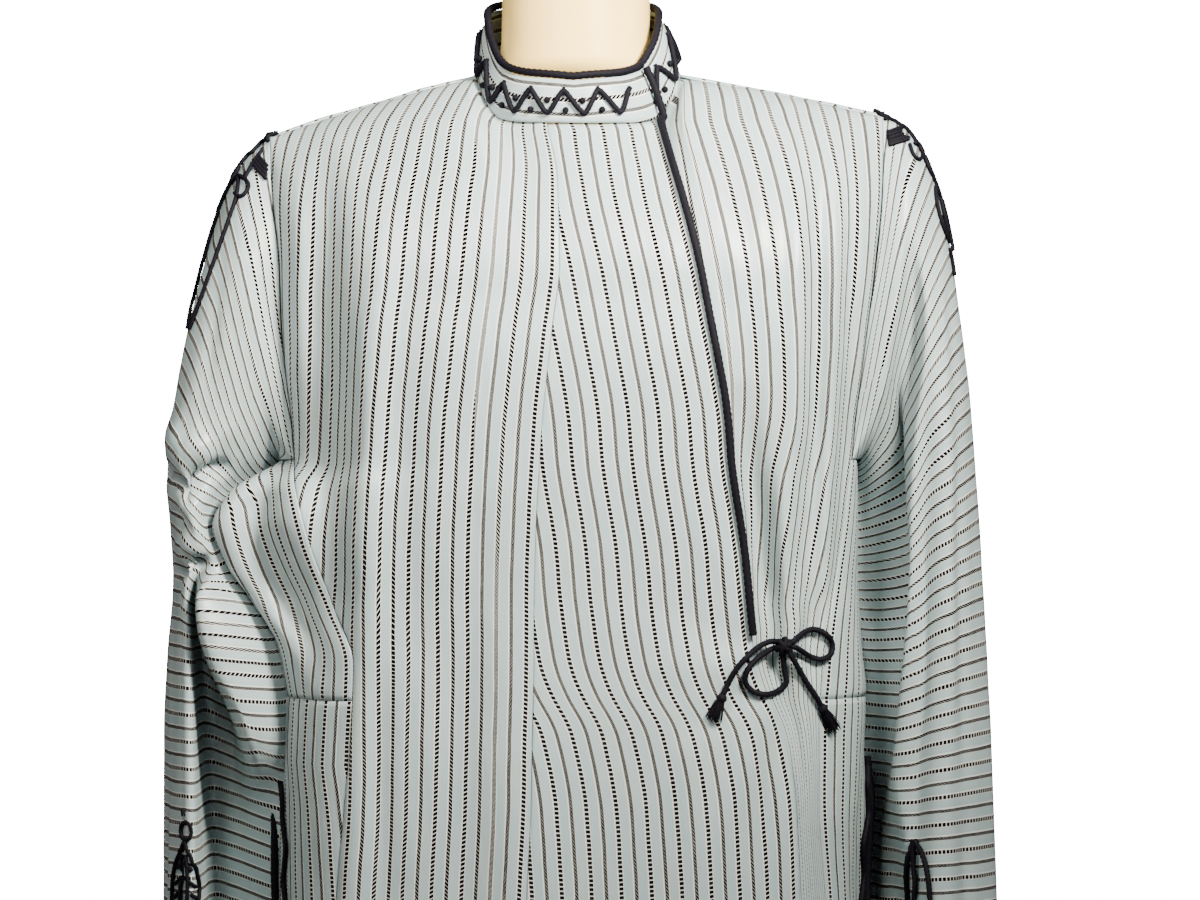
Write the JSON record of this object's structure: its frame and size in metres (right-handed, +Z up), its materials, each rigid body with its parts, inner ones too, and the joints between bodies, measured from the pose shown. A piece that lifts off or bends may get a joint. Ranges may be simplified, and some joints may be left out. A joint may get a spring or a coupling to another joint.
{
  "type": "kaftan on a limbless dress form",
  "caption": "Long striped kaftan with stand collar, lapped front tied by a cord bow, corded side slits and long empty sleeves, on a limbless dress form with pole and round base.",
  "frame": {"origin": "centre of the round base's underside, on the floor, under the pole", "axes": "+Z up along the pole; -Y is the front of the garment; the wearer's right is -X and the wearer's left is +X"},
  "size_m": [0.613, 0.37, 1.4873],
  "materials": {
    "striped_satin": "pale silver grey-blue satin with narrow dark stripes",
    "black_cord": "twisted near-black cord",
    "form_cream": "smooth cream coating",
    "stand_metal": "brushed"
  },
  "bodies": {
    "root": {"front_right": "striped_satin", "front_lap": "striped_satin", "front_left": "striped_satin", "back": "striped_satin", "gusset_right": "striped_satin", "gusset_left": "striped_satin", "side_front_right": "striped_satin", "side_back_right": "striped_satin", "side_front_left": "striped_satin", "side_back_left": "striped_satin", "sleeve_right": "striped_satin", "sleeve_left": "striped_satin", "collar": "striped_satin", "collar_rim_cord": "black_cord", "collar_wave_cord": "black_cord", "lap_edge_cord": "black_cord", "slit_edge_front_right": "black_cord", "slit_edge_back_right": "black_cord", "slit_edge_front_left": "black_cord", "slit_edge_back_left": "black_cord", "slit_wave_front_right": "black_cord", "slit_wave_front_left": "black_cord", "sleeve_head_cord_right": "black_cord", "sleeve_head_cord_left": "black_cord", "cuff_cord_right": "black_cord", "cuff_cord_left": "black_cord", "bow_loop_low": "black_cord", "bow_loop_side": "black_cord", "bow_tail_right": "black_cord", "bow_tail_left": "black_cord", "bow_knot": "black_cord", "bow_tassel_right": "black_cord", "bow_tassel_left": "black_cord", "form_torso": "form_cream", "form_neck_cap": "stand_metal", "stand_pole": "stand_metal", "stand_base": "stand_metal"}
  },
  "joints": []
}
